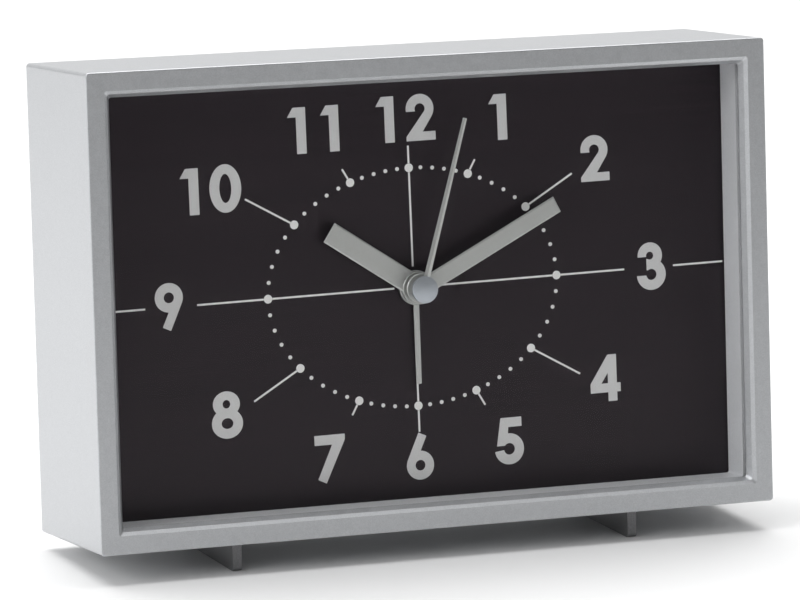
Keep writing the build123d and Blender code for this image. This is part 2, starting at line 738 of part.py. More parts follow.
MINUTE_WHEEL_AT = polar(MINUTE_WHEEL_DISTANCE, MINUTE_WHEEL_SIDE)
HOUR_MODULE = 2 * MINUTE_WHEEL_DISTANCE / (HOUR_WHEEL_TEETH + SMALL_PINION_TEETH)
SET_SHAFT_AT = polar(MINUTE_WHEEL_DISTANCE, SET_SHAFT_SIDE, MINUTE_WHEEL_AT)
ALARM_SHAFT_AT = polar(centre_distance(SET_MODULE, ALARM_WHEEL_TEETH, ALARM_PINION_TEETH), ALARM_SHAFT_SIDE)

CENTRE_LAYER = 3
MINUTE_WHEEL_LAYER = 2
HOUR_LAYER = 1
ALARM_LAYER = 0
THIRD_LAYER = 4
SECOND_LAYER = 5
INTERMEDIATE_LAYER = 6
PIVOT_TIP = 0.3
ARBOR_BACK = BRIDGE_BACK - PIVOT_TIP
ARBOR_FRONT = SUPPORT_BACK + PIVOT_TIP


def centre_wheel():
    """Centre wheel, cannon pinion and the tube that carries the minute hand."""
    back = layer(CENTRE_LAYER) + GEAR_THICK
    wheel = toothed(CENTRE_WHEEL_TEETH, CENTRE_MODULE, 0, CENTRE_LAYER, bore=MINUTE_BORE)
    cannon = toothed(CANNON_TEETH, SET_MODULE, 0, MINUTE_WHEEL_LAYER, bore=MINUTE_BORE)
    pipe = tube(MINUTE_BORE, MINUTE_TUBE, MINUTE_HAND_FRONT, back)
    join = tube(MINUTE_BORE, PINION_CORE, layer(MINUTE_WHEEL_LAYER) + GEAR_THICK, layer(CENTRE_LAYER))
    return on_axis(joined([wheel, cannon, pipe, join]))


PINION_CORE = 1.2


def hour_wheel():
    """Hour wheel and the tube that carries the hour hand."""
    turn = meshing_turn(minute_pinion_turn(), SMALL_PINION_TEETH, HOUR_WHEEL_TEETH, MINUTE_WHEEL_SIDE + 180)
    wheel = toothed(HOUR_WHEEL_TEETH, HOUR_MODULE, turn, HOUR_LAYER, bore=HOUR_BORE)
    pipe = tube(HOUR_BORE, HOUR_TUBE, HOUR_HAND_FRONT, layer(HOUR_LAYER) + GEAR_THICK)
    return on_axis(wheel + pipe)


def minute_wheel_turn():
    """The turn of the minute wheel that fits the cannon pinion."""
    return meshing_turn(0, CANNON_TEETH, MINUTE_WHEEL_TEETH, MINUTE_WHEEL_SIDE)


def minute_pinion_turn():
    """The turn of the minute wheel's own pinion."""
    return MINUTE_WHEEL_SIDE


def minute_wheel():
    """The wheel between the minute and hour hands, turning on a stud of the front shell."""
    bore = STUD + RUNNING_GAP
    wheel = toothed(MINUTE_WHEEL_TEETH, SET_MODULE, minute_wheel_turn(), MINUTE_WHEEL_LAYER, MINUTE_WHEEL_AT)
    pinion = toothed(SMALL_PINION_TEETH, HOUR_MODULE, minute_pinion_turn(), HOUR_LAYER, MINUTE_WHEEL_AT)
    front = layer(HOUR_LAYER)
    back = layer(MINUTE_WHEEL_LAYER) + GEAR_THICK
    core = rod(PINION_CORE, front, back, MINUTE_WHEEL_AT)
    return on_axis(wheel + pinion + core - rod(bore, front - 1, back + 1, MINUTE_WHEEL_AT))


STUD = 0.45


def alarm_wheel():
    """Alarm wheel and the tube that carries the alarm hand."""
    wheel = toothed(ALARM_WHEEL_TEETH, SET_MODULE, 0, ALARM_LAYER, bore=ALARM_BORE)
    pipe = tube(ALARM_BORE, ALARM_TUBE, ALARM_HAND_FRONT, layer(ALARM_LAYER) + GEAR_THICK)
    return on_axis(wheel + pipe)


def second_wheel():
    """Second wheel, its pinion and the thin arbor that carries the second hand."""
    turn = meshing_turn(third_wheel_turn(), THIRD_WHEEL_TEETH, SMALL_PINION_TEETH, THIRD_WHEEL_SIDE + 180)
    wheel = toothed(SECOND_WHEEL_TEETH, SECOND_WHEEL_MODULE, 0, SECOND_LAYER)
    pinion = toothed(SMALL_PINION_TEETH, TRAIN_MODULE, turn, THIRD_LAYER)
    arbor = rod(SECOND_ARBOR, SECOND_HAND_FRONT, ARBOR_BACK)
    core = rod(SMALL_CORE, layer(THIRD_LAYER), layer(SECOND_LAYER))
    return on_axis(joined([wheel, pinion, arbor, core]))


SMALL_CORE = 0.9


def third_wheel_turn():
    """The third wheel's own teeth may start anywhere; they start level."""
    return 0


def third_wheel():
    """The wheel between the minute and second hands."""
    turn = meshing_turn(0, CENTRE_WHEEL_TEETH, SMALL_PINION_TEETH, THIRD_WHEEL_SIDE)
    wheel = toothed(THIRD_WHEEL_TEETH, TRAIN_MODULE, third_wheel_turn(), THIRD_LAYER, THIRD_AT)
    pinion = toothed(SMALL_PINION_TEETH, CENTRE_MODULE, turn, CENTRE_LAYER, THIRD_AT)
    arbor = rod(ARBOR, ARBOR_FRONT, ARBOR_BACK, THIRD_AT)
    core = rod(SMALL_CORE, layer(CENTRE_LAYER), layer(THIRD_LAYER), THIRD_AT)
    return on_axis(joined([wheel, pinion, arbor, core]))


def intermediate_wheel():
    """The wheel between the second wheel and the rotor."""
    turn = meshing_turn(0, SECOND_WHEEL_TEETH, INTERMEDIATE_PINION_TEETH, INTERMEDIATE_SIDE)
    wheel = toothed(INTERMEDIATE_WHEEL_TEETH, TRAIN_MODULE, 0, INTERMEDIATE_LAYER, INTERMEDIATE_AT)
    pinion = toothed(INTERMEDIATE_PINION_TEETH, SECOND_WHEEL_MODULE, turn, SECOND_LAYER, INTERMEDIATE_AT)
    arbor = rod(ARBOR, ARBOR_FRONT, ARBOR_BACK, INTERMEDIATE_AT)
    core = rod(SMALL_CORE, layer(SECOND_LAYER), layer(INTERMEDIATE_LAYER), INTERMEDIATE_AT)
    return on_axis(joined([wheel, pinion, arbor, core]))


ROTOR_MAGNET = 2.3
ROTOR_HOLE = 3.0
MAGNET_FRONT = 24.9
MAGNET_BACK = 26.5


def rotor():
    """The motor's round magnet and the pinion it turns."""
    turn = meshing_turn(0, INTERMEDIATE_WHEEL_TEETH, SMALL_PINION_TEETH, ROTOR_SIDE)
    pinion = toothed(SMALL_PINION_TEETH, TRAIN_MODULE, turn, INTERMEDIATE_LAYER, ROTOR_AT)
    magnet = rod(ROTOR_MAGNET, MAGNET_FRONT, MAGNET_BACK, ROTOR_AT)
    arbor = rod(ARBOR, ARBOR_FRONT, ARBOR_BACK, ROTOR_AT)
    return on_axis(joined([pinion, magnet, arbor]))


SHAFT_FRONT = 18.0
SHAFT_BACK = 37.3


def time_set_shaft():
    """The shaft and pinion that set the time."""
    turn = meshing_turn(minute_wheel_turn(), MINUTE_WHEEL_TEETH, CANNON_TEETH, SET_SHAFT_SIDE)
    pinion = toothed(CANNON_TEETH, SET_MODULE, turn, MINUTE_WHEEL_LAYER, SET_SHAFT_AT)
    shaft = rod(SET_SHAFT, SHAFT_FRONT, SHAFT_BACK, SET_SHAFT_AT)
    pivot = rod(ARBOR, ARBOR_FRONT, SHAFT_FRONT, SET_SHAFT_AT)
    return on_axis(joined([pinion, shaft, pivot]))


def alarm_set_shaft():
    """The shaft and pinion that set the alarm."""
    turn = meshing_turn(0, ALARM_WHEEL_TEETH, ALARM_PINION_TEETH, ALARM_SHAFT_SIDE)
    pinion = toothed(ALARM_PINION_TEETH, SET_MODULE, turn, ALARM_LAYER, ALARM_SHAFT_AT)
    shaft = rod(SET_SHAFT, layer(ALARM_LAYER), SHAFT_BACK, ALARM_SHAFT_AT)
    pivot = rod(ARBOR, ARBOR_FRONT, layer(ALARM_LAYER), ALARM_SHAFT_AT)
    return on_axis(joined([pinion, shaft, pivot]))


KNOB_RIB_HEIGHT = 0.35
KNOB_DISH = 0.6


def knob(at):
    """A ribbed knob pressed onto a setting shaft."""
    corners = []
    for step in range(2 * KNOB_RIBS):
        radius = KNOB_DIAMETER / 2 - (step % 2) * KNOB_RIB_HEIGHT
        corners.append(polar(radius, step * 180 / KNOB_RIBS))
    body = slab(Polygon(*corners, align=None), KNOB_FRONT, KNOB_BACK)
    body = body - rod(SET_SHAFT + HUB_GRIP, KNOB_FRONT, SHAFT_BACK)
    body = body - rod(KNOB_DIAMETER / 2 - KNOB_RIB_HEIGHT - 1, KNOB_BACK - KNOB_DISH, KNOB_BACK)
    return on_axis(Pos(at[0], 0, at[1]) * body)


# Motor, bridge, board, buzzer and contacts

CORE_LEFT = 7.0
CORE_RIGHT = 23.2
STATOR_BOTTOM = 10.2
STATOR_PLATE_TOP = 18.1
STATOR_LEG = 2.2
STATOR_POST = 1.0


def stator():
    """The motor's flat iron: the core through the coil and the plate round the rotor."""
    core_top = COIL_HEIGHT + CORE_WIDTH / 2
    iron = stator_part(CORE_LEFT, CORE_RIGHT, COIL_HEIGHT - CORE_WIDTH / 2, core_top)
    iron = iron + stator_part(CORE_LEFT, CORE_RIGHT, STATOR_BOTTOM, STATOR_PLATE_TOP)
    iron = iron + stator_part(CORE_LEFT, CORE_LEFT + STATOR_LEG, STATOR_BOTTOM, core_top)
    iron = iron + stator_part(CORE_RIGHT - STATOR_LEG, CORE_RIGHT, STATOR_BOTTOM, core_top)
    return on_axis(iron - rod(ROTOR_HOLE, STATOR_FRONT, STATOR_FRONT + STATOR_THICK, ROTOR_AT))


def stator_part(left, right, bottom, top):
    """One straight part of the flat iron."""
    return block(left, right, STATOR_FRONT, STATOR_FRONT + STATOR_THICK, bottom, top)


def stator_posts():
    """Where the stator stands on the front shell."""
    return [(CORE_LEFT + STATOR_LEG / 2, COIL_HEIGHT), (CORE_RIGHT - STATOR_LEG / 2, COIL_HEIGHT)]


COIL_DEPTH = STATOR_FRONT + STATOR_THICK / 2
BOBBIN_TUBE = 1.6
FLANGE = 0.8
WINDING = 2.3


def sideways(bore, radius, left, right, depth, height):
    """A round tube or rod running from left to right."""
    ring = Circle(radius) - Circle(bore) if bore else Circle(radius)
    return Pos(left, depth, height) * (Plane.YZ * extrude(ring, amount=right - left))


def coil_bobbin():
    """The moulded reel on the core."""
    end = COIL_START + COIL_LENGTH
    reel = sideways(0, BOBBIN_TUBE, COIL_START, end, COIL_DEPTH, COIL_HEIGHT)
    reel = reel + sideways(0, COIL_RADIUS, COIL_START, COIL_START + FLANGE, COIL_DEPTH, COIL_HEIGHT)
    reel = reel + sideways(0, COIL_RADIUS, end - FLANGE, end, COIL_DEPTH, COIL_HEIGHT)
    hole_half = CORE_WIDTH / 2 + HUB_GRIP
    depth_half = STATOR_THICK / 2 + HUB_GRIP
    hole = block(
        COIL_START, end, COIL_DEPTH - depth_half, COIL_DEPTH + depth_half,
        COIL_HEIGHT - hole_half, COIL_HEIGHT + hole_half
    )
    return on_axis(reel - hole)


def coil_winding():
    """The copper wire on the reel."""
    end = COIL_START + COIL_LENGTH
    return on_axis(
        sideways(BOBBIN_TUBE + HUB_GRIP, WINDING, COIL_START + FLANGE, end - FLANGE, COIL_DEPTH, COIL_HEIGHT)
    )


BRIDGE_POSTS = ((4.0, 22.5), (0.0, -13.2), (22.5, 4.0))
BRIDGE_ARM = 2.0
BRIDGE_POST = 1.2
BRIDGE_PEG = 0.6
BUZZER_AT = (-17.0, 14.8)


def arm(start, end):
    """One flat arm of the bridge with round ends."""
    length = hypot(end[0] - start[0], end[1] - start[1])
    side = degrees(atan2(end[1] - start[1], end[0] - start[0]))
    strip = Rot(0, 0, side) * (Pos(length / 2, 0) * Rectangle(length, 2 * BRIDGE_ARM))
    return Pos(*start) * (strip + Circle(BRIDGE_ARM)) + Pos(*end) * Circle(BRIDGE_ARM)


def train_bridge():
    """The thin plate that holds the back ends of the wheels' arbors."""
    top_post, low_post, side_post = BRIDGE_POSTS
    middle = (0, 0)
    plate = arm(middle, low_post) + arm(middle, THIRD_AT) + arm(middle, INTERMEDIATE_AT)
    plate = plate + arm(THIRD_AT, top_post) + arm(INTERMEDIATE_AT, top_post)
    plate = plate + arm(INTERMEDIATE_AT, ROTOR_AT) + arm(ROTOR_AT, side_post) + arm(side_post, INTERMEDIATE_AT)
    plate = plate - Pos(*BUZZER_AT) * Circle(BUZZER_RADIUS + 2 * SHEET_GAP)
    below = PARTITION_TOP + BOARD_MARGIN - BRIDGE_ARM
    plate = plate - Pos(low_post[0], below) * Rectangle(4 * BRIDGE_ARM, 2 * BRIDGE_ARM)
    for at in (middle, THIRD_AT, INTERMEDIATE_AT, ROTOR_AT):
        plate = plate - Pos(*at) * Circle(PIVOT_HOLE)
    for at in BRIDGE_POSTS:
        plate = plate - Pos(*at) * Circle(BRIDGE_PEG + HUB_GRIP)
    return on_axis(slab(plate, BRIDGE_FRONT, BRIDGE_BACK))


SHELL_SCREW_PLACES = ((-25.3, 23.3), (25.3, 23.3), (-25.3, -9.0), (25.3, -9.0))
SHELL_SCREW = 0.8
SHELL_SCREW_HEAD = 1.7
SHELL_SCREW_HEAD_HEIGHT = 1.0
SHELL_SCREW_TIP = 20.4
SHELL_BOSS = 2.0
SHAFT_CLEARANCE = 0.5
BOARD_MARGIN = 0.2


def circuit_board():
    """The board behind the bridge, held between the two shells by the shell screws."""
    half = MOVEMENT_HALF_WIDTH - MOVEMENT_WALL - BOARD_MARGIN
    top = MOVEMENT_TOP - MOVEMENT_WALL - BOARD_MARGIN
    board = block(-half, half, MOVEMENT_SPLIT, BOARD_BACK, PARTITION_TOP + BOARD_MARGIN, top)
    for at in (SET_SHAFT_AT, ALARM_SHAFT_AT):
        board = board - rod(SET_SHAFT + SHAFT_CLEARANCE, MOVEMENT_SPLIT, BOARD_BACK, at)
    for at in SHELL_SCREW_PLACES:
        board = board - rod(SHELL_SCREW + SHEET_GAP, MOVEMENT_SPLIT, BOARD_BACK, at)
    return on_axis(board)


CHIP_LEFT = -8.0
CHIP_BOTTOM = -6.5
CHIP_SIDE = 5.0
CHIP_HEIGHT = 1.1


def board_chip():
    """The covered chip on the board."""
    return on_axis(block(
        CHIP_LEFT, CHIP_LEFT + CHIP_SIDE, BOARD_BACK, BOARD_BACK + CHIP_HEIGHT,
        CHIP_BOTTOM, CHIP_BOTTOM + CHIP_SIDE
    ))


CRYSTAL_RADIUS = 1.0
CRYSTAL_LEFT = -1.0
CRYSTAL_RIGHT = 5.0
CRYSTAL_HEIGHT = 4.0


def quartz_crystal():
    """The small metal can that keeps the time."""
    depth = BOARD_BACK + CRYSTAL_RADIUS + HUB_GRIP
    return on_axis(sideways(0, CRYSTAL_RADIUS, CRYSTAL_LEFT, CRYSTAL_RIGHT, depth, CRYSTAL_HEIGHT))


SOUND_HOLE_RADIUS = 1.2
SOUND_HOLE_DEPTH = 1.0


def buzzer():
    """The round sounder of the alarm, soldered to the front of the board."""
    body = rod(BUZZER_RADIUS, BUZZER_FRONT, MOVEMENT_SPLIT, BUZZER_AT)
    sound_hole = rod(SOUND_HOLE_RADIUS, BUZZER_FRONT, BUZZER_FRONT + SOUND_HOLE_DEPTH, BUZZER_AT)
    return on_axis(body - sound_hole)


SPRING_HALF_WIDTH = 1.5
SPRING_THICK = 0.2
SPRING_GAP = 0.3
SPRING_LOW = 9.1
SPRING_TOP = 20.5
SPRING_FOOT = 3.0


def alarm_contact_spring():
    """The bent strip that the alarm wheel lets go of when the alarm is due."""
    blade_front = layer(ALARM_LAYER) + GEAR_THICK + SPRING_GAP
    blade_back = blade_front + SPRING_THICK
    blade = block(-SPRING_HALF_WIDTH, SPRING_HALF_WIDTH, blade_front, blade_back, SPRING_LOW, SPRING_TOP)
    leg = block(
        -SPRING_HALF_WIDTH, SPRING_HALF_WIDTH, FRONT_WALL_BACK, blade_back, SPRING_TOP - SPRING_THICK, SPRING_TOP
    )
    foot_back = FRONT_WALL_BACK + SPRING_THICK
    foot_low = SPRING_TOP - SPRING_FOOT
    foot = block(-SPRING_HALF_WIDTH, SPRING_HALF_WIDTH, FRONT_WALL_BACK, foot_back, foot_low, SPRING_TOP)
    return on_axis(blade + leg + foot)


# Battery, contacts and door

def battery_cell():
    """A round dry cell lying across the bottom of the movement."""
    left = -BATTERY_LENGTH / 2
    body = sideways(0, BATTERY_RADIUS, left, -left - BATTERY_NUB, BATTERY_DEPTH, BATTERY_HEIGHT)
    body = chamfer(body.edges().filter_by(GeomType.CIRCLE), 0.4)
    nub = sideways(0, BATTERY_NUB_RADIUS, -left - BATTERY_NUB, -left, BATTERY_DEPTH, BATTERY_HEIGHT)
    return on_axis(body + nub)


CONTACT_REACH = 5.7
CONTACT_HALF_HEIGHT = 5.5
CONTACT_TAB = 2.0
CONTACT_PAD_HALF = 2.0


def battery_contacts():
    """A spring contact at the flat end of the cell and a plain one at the other."""
    contacts = []
    for side in (-1, 1):
        wall = MOVEMENT_HALF_WIDTH - MOVEMENT_WALL
        inner = wall - CONTACT_THICK
        low, high = BATTERY_HEIGHT - CONTACT_HALF_HEIGHT, BATTERY_HEIGHT + CONTACT_HALF_HEIGHT
        plate = block(inner, wall, BATTERY_DEPTH - CONTACT_REACH, MOVEMENT_SPLIT, low, high)
        tab_top = PARTITION_TOP + CONTACT_TAB
        tab = block(inner, wall, MOVEMENT_SPLIT - CONTACT_TAB, MOVEMENT_SPLIT, BATTERY_HEIGHT, tab_top)
        front, back = BATTERY_DEPTH - CONTACT_PAD_HALF, BATTERY_DEPTH + CONTACT_PAD_HALF
        low, high = BATTERY_HEIGHT - CONTACT_PAD_HALF, BATTERY_HEIGHT + CONTACT_PAD_HALF
        pad = block(BATTERY_LENGTH / 2, inner, front, back, low, high)
        contact = plate + tab + pad
        contacts.append(on_axis(contact if side > 0 else mirror(contact, about=Plane.YZ)))
    return group(contacts)


DOOR_HALF_WIDTH = 26.2
DOOR_TOP = -14.6
DOOR_BOTTOM = -30.8
DOOR_THICK = 1.0
DOOR_GAP = 0.1
RAIL_INNER = 26.4
RAIL_LIP = 1.2
RAIL_LIP_THICK = 0.8
BAY_HALF_WIDTH = 25.4
BAY_TOP = -15.2
BAY_BOTTOM = -29.8
GRIP_RIB_HEIGHT = 0.5
GRIP_RIB_WIDTH = 0.8
GRIP_RIB_HALF_LENGTH = 9.0
GRIP_RIB_STEP = 2.0
GRIP_RIB_START = 3.0
GRIP_RIBS = 5


def battery_door():
    """The sliding lid of the battery bay, with ribs for the thumb."""
    front = MOVEMENT_BACK + DOOR_GAP
    back = front + DOOR_THICK
    door = block(-DOOR_HALF_WIDTH, DOOR_HALF_WIDTH, front, back, DOOR_BOTTOM, DOOR_TOP)
    for rib in range(GRIP_RIBS):
        bottom = DOOR_BOTTOM + GRIP_RIB_START + GRIP_RIB_STEP * rib
        top = bottom + GRIP_RIB_WIDTH
        door = door + block(
            -GRIP_RIB_HALF_LENGTH, GRIP_RIB_HALF_LENGTH, back, back + GRIP_RIB_HEIGHT, bottom, top
        )
    return on_axis(door)


# Shells of the movement

def shell_outline(inset):
    """The outline of the movement box, smaller by the inset."""
    width = 2 * (MOVEMENT_HALF_WIDTH - inset)
    height = MOVEMENT_TOP - MOVEMENT_BOTTOM - 2 * inset
    return Pos(0, (MOVEMENT_TOP + MOVEMENT_BOTTOM) / 2) * Rectangle(width, height)


def shell_walls(front, back):
    """The four side walls between two depths, with the partition over the battery."""
    walls = slab(shell_outline(0) - shell_outline(MOVEMENT_WALL), front, back)
    half = MOVEMENT_HALF_WIDTH - MOVEMENT_WALL - CONTACT_THICK - SHEET_GAP
    return walls + block(-half, half, front, back, PARTITION_TOP - PARTITION_THICK, PARTITION_TOP)


BUSHING_FRONT = 12.0


def movement_front_shell():
    """The front half: plate, walls, bushing, lugs, posts and the stud of the minute wheel."""
    front_wall = slab(shell_outline(0), SUPPORT_BACK, FRONT_WALL_BACK)
    shell = front_wall + shell_walls(FRONT_WALL_BACK, MOVEMENT_SPLIT) + rod(BUSHING, BUSHING_FRONT, SUPPORT_BACK)
    shell = shell + rod(STUD, FRONT_WALL_BACK, STUD_BACK, MINUTE_WHEEL_AT)
    for at in BRIDGE_POSTS:
        shell = shell + rod(BRIDGE_POST, FRONT_WALL_BACK, BRIDGE_FRONT, at)
        shell = shell + rod(BRIDGE_PEG, BRIDGE_FRONT, BRIDGE_BACK, at)
    for at in stator_posts():
        shell = shell + rod(STATOR_POST, FRONT_WALL_BACK, STATOR_FRONT, at)
    for at in SHELL_SCREW_PLACES:
        shell = shell + rod(SHELL_BOSS, FRONT_WALL_BACK, MOVEMENT_SPLIT, at)
        shell = shell - rod(SHELL_SCREW + HUB_GRIP, SHELL_SCREW_TIP, MOVEMENT_SPLIT, at)
    for side in (-1, 1):
        left = min(side * MOVEMENT_HALF_WIDTH, side * (LUG_SIDE + SUPPORT_BOSS))
        right = max(side * MOVEMENT_HALF_WIDTH, side * (LUG_SIDE + SUPPORT_BOSS))
        lug = block(left, right, LUG_FRONT, LUG_FRONT + LUG_THICK, -SUPPORT_BOSS, SUPPORT_BOSS)
        lug = lug - rod(LUG_SCREW + SHEET_GAP, LUG_FRONT, LUG_FRONT + LUG_THICK, (side * LUG_SIDE, 0))
        shell = shell + lug
    shell = shell - rod(BUSHING_BORE, BUSHING_FRONT, FRONT_WALL_BACK)
    for at in (THIRD_AT, INTERMEDIATE_AT, ROTOR_AT, SET_SHAFT_AT, ALARM_SHAFT_AT):
        shell = shell - rod(PIVOT_HOLE, SUPPORT_BACK, FRONT_WALL_BACK, at)
    return on_axis(shell)


STUD_BACK = 19.9
SWITCH_AT = (-2.0, 18.0)
SWITCH_STEM_WIDTH = 3.0
SWITCH_STEM_HEIGHT = 2.4
SWITCH_FLANGE_WIDTH = 5.0
SWITCH_FLANGE_HEIGHT = 4.4
SWITCH_BACK = 34.8
SWITCH_GAP = 0.15


def alarm_switch():
    """The small slider that turns the alarm on and off."""
    stem_back_front = REAR_WALL_FRONT - SWITCH_GAP
    flange_front = stem_back_front - SWITCH_FLANGE_THICK
    x, z = SWITCH_AT
    half_width = SWITCH_STEM_WIDTH / 2
    half_height = SWITCH_STEM_HEIGHT / 2
    stem = block(x - half_width, x + half_width, stem_back_front, SWITCH_BACK, z - half_height, z + half_height)
    flange = block(
        x - SWITCH_FLANGE_WIDTH / 2, x + SWITCH_FLANGE_WIDTH / 2, flange_front, stem_back_front,
        z - SWITCH_FLANGE_HEIGHT / 2, z + SWITCH_FLANGE_HEIGHT / 2
    )
    return on_axis(stem + flange)


SWITCH_FLANGE_THICK = 0.8
SWITCH_END_GAP = 0.2
BEARING_COLLAR = 2.4
BEARING_BACK = 33.0
DOOR_STOP_THICK = 0.6


def movement_rear_shell():
    """The back half: plate, walls, bearings of the setting shafts, the switch's slot and the door's rails."""
    shell = slab(shell_outline(0), REAR_WALL_FRONT, MOVEMENT_BACK) + shell_walls(MOVEMENT_SPLIT, REAR_WALL_FRONT)
    shell = shell - block(-BAY_HALF_WIDTH, BAY_HALF_WIDTH, REAR_WALL_FRONT, MOVEMENT_BACK, BAY_BOTTOM, BAY_TOP)
    for at in (SET_SHAFT_AT, ALARM_SHAFT_AT):
        shell = shell + rod(BEARING_COLLAR, REAR_WALL_FRONT, BEARING_BACK, at)
        shell = shell - rod(SET_SHAFT + RUNNING_GAP, REAR_WALL_FRONT, BEARING_BACK, at)
    for at in SHELL_SCREW_PLACES:
        shell = shell + rod(SHELL_BOSS, BOARD_BACK, REAR_WALL_FRONT, at)
        shell = shell - rod(SHELL_SCREW + SHEET_GAP, BOARD_BACK, MOVEMENT_BACK, at)
    x, z = SWITCH_AT
    left = x - SWITCH_STEM_WIDTH / 2 - SWITCH_END_GAP
    right = x + SWITCH_STEM_WIDTH / 2 + SWITCH_TRAVEL + SWITCH_END_GAP
    half = SWITCH_STEM_HEIGHT / 2 + DOOR_GAP
    shell = shell - block(left, right, REAR_WALL_FRONT, MOVEMENT_BACK, z - half, z + half)
    rail_back = MOVEMENT_BACK + 2 * DOOR_GAP + DOOR_THICK + RAIL_LIP_THICK
    lip_front = rail_back - RAIL_LIP_THICK
    for side in (-1, 1):
        web = block(RAIL_INNER, MOVEMENT_HALF_WIDTH, MOVEMENT_BACK, rail_back, MOVEMENT_BOTTOM, DOOR_TOP)
        lip = block(RAIL_INNER - RAIL_LIP, MOVEMENT_HALF_WIDTH, lip_front, rail_back, MOVEMENT_BOTTOM, DOOR_TOP)
        rail = web + lip
        shell = shell + (rail if side > 0 else mirror(rail, about=Plane.YZ))
    stop_bottom = DOOR_TOP + DOOR_GAP
    shell = shell + block(-20, 20, MOVEMENT_BACK, lip_front, stop_bottom, stop_bottom + DOOR_STOP_THICK)
    return on_axis(shell)


def shell_screws():
    """Four screws that hold the two shells and the board together."""
    screws = []
    for at in SHELL_SCREW_PLACES:
        back = MOVEMENT_BACK + SHELL_SCREW_HEAD_HEIGHT
        head = rod(SHELL_SCREW_HEAD, MOVEMENT_BACK, back, at)
        screw = rod(SHELL_SCREW, SHELL_SCREW_TIP, MOVEMENT_BACK, at) + head
        screws.append(on_axis(screw - screw_slots(back, SHELL_SCREW_HEAD, at)))
    return group(screws)


def movement_screws():
    """Two screws through the movement's lugs into the dial support."""
    screws = []
    for side in (-1, 1):
        at = (side * LUG_SIDE, 0)
        head_front = LUG_FRONT + LUG_THICK
        back = head_front + LUG_SCREW_HEAD_HEIGHT
        screw = rod(LUG_SCREW, LUG_SCREW_TIP, head_front, at) + rod(LUG_SCREW_HEAD, head_front, back, at)
        screws.append(on_axis(screw - screw_slots(back, LUG_SCREW_HEAD, at)))
    return group(screws)


LUG_SCREW_HEAD = 2.0
LUG_SCREW_HEAD_HEIGHT = 1.3


def pieces():
    """Every named piece of the clock, upright in its place."""
    return {
        "case_shell": case_shell(),
        "lens": lens(),
        "spacer_frame": spacer_frame(),
        "dial_face": dial_face(),
        "dial_numerals": dial_numerals(),
        "dial_hour_dots": dial_hour_dots(),
        "dial_minute_dots": dial_minute_dots(),
        "dial_lines": dial_lines(),
        "alarm_hand": alarm_hand(),
        "hour_hand": hour_hand(),
        "minute_hand": minute_hand(),
        "second_hand": second_hand(),
        "second_hand_cap": second_hand_cap(),
        "left_foot_fin": foot_fin(-1),
        "right_foot_fin": foot_fin(1),
        "foot_screws": foot_screws(),
        "dial_support": dial_support(),
        "corner_blocks": corner_blocks(),
        "rear_cover": rear_cover(),
        "cover_screws": cover_screws(),
        "movement_front_shell": movement_front_shell(),
        "movement_rear_shell": movement_rear_shell(),
        "shell_screws": shell_screws(),
        "movement_screws": movement_screws(),
        "set_knob": knob(SET_SHAFT_AT),
        "alarm_knob": knob(ALARM_SHAFT_AT),
        "alarm_switch": alarm_switch(),
        "battery_door": battery_door(),
        "battery_cell": battery_cell(),
        "battery_contacts": battery_contacts(),
        "circuit_board": circuit_board(),
        "board_chip": board_chip(),
        "quartz_crystal": quartz_crystal(),
        "coil_bobbin": coil_bobbin(),
        "coil_winding": coil_winding(),
        "stator": stator(),
        "rotor": rotor(),
        "train_bridge": train_bridge(),
        "intermediate_wheel": intermediate_wheel(),
        "second_wheel": second_wheel(),
        "third_wheel": third_wheel(),
        "centre_wheel": centre_wheel(),
        "minute_wheel": minute_wheel(),
        "hour_wheel": hour_wheel(),
        "alarm_wheel": alarm_wheel(),
        "time_set_shaft": time_set_shaft(),
        "alarm_set_shaft": alarm_set_shaft(),
        "buzzer": buzzer(),
        "alarm_contact_spring": alarm_contact_spring(),
    }


def standing(piece, shift):
    """A piece leant back with the clock and moved to its place on the table."""
    return Pos(*shift) * (Rot(-LEAN, 0, 0) * piece)


def table_shift(upright):
    """The move that puts the fins on the table and the clock's middle over the origin."""
    boxes = [(Rot(-LEAN, 0, 0) * piece).bounding_box(optimal=True) for piece in upright.values()]
    left = min(box.min.X for box in boxes)
    right = max(box.max.X for box in boxes)
    front = min(box.min.Y for box in boxes)
    back = max(box.max.Y for box in boxes)
    bottom = min(box.min.Z for box in boxes)
    return (-(left + right) / 2, -(front + back) / 2, -bottom)


if __name__ == "__main__":
    os.makedirs("parts", exist_ok=True)
    upright = pieces()
    shift = table_shift(upright)
    for name, piece in upright.items():
        export_step(standing(piece, shift), f"parts/{name}.step")
    print(len(upright), "pieces written, moved by", [round(value, 4) for value in shift])
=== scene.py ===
"""Looks of the table clock: finishes, softened edges, floor, lights and camera."""
import json
from math import cos, pi, radians, sin

import bmesh
import bpy
from mathutils import Matrix, Vector

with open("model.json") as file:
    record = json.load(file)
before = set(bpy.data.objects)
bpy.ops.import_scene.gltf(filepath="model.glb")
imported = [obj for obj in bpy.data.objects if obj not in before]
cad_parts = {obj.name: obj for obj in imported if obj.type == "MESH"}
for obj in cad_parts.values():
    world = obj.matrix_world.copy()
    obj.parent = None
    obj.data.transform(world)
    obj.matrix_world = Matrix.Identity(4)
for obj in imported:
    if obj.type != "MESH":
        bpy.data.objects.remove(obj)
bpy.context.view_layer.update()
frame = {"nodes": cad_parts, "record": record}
nodes = frame["nodes"]

MM = 0.001


# Shader maths

class Value:
    """A socket of a finish's nodes; sums and products of it add Math nodes."""

    def __init__(self, finish, socket):
        self.finish = finish
        self.socket = socket

    def maths(self, operation, first, second):
        return self.finish.node("ShaderNodeMath", {"operation": operation}, {0: first, 1: second})

    def __add__(self, other):
        return self.maths("ADD", self, other)

    def __radd__(self, other):
        return self.maths("ADD", other, self)

    def __mul__(self, other):
        return self.maths("MULTIPLY", self, other)

    def __rmul__(self, other):
        return self.maths("MULTIPLY", other, self)


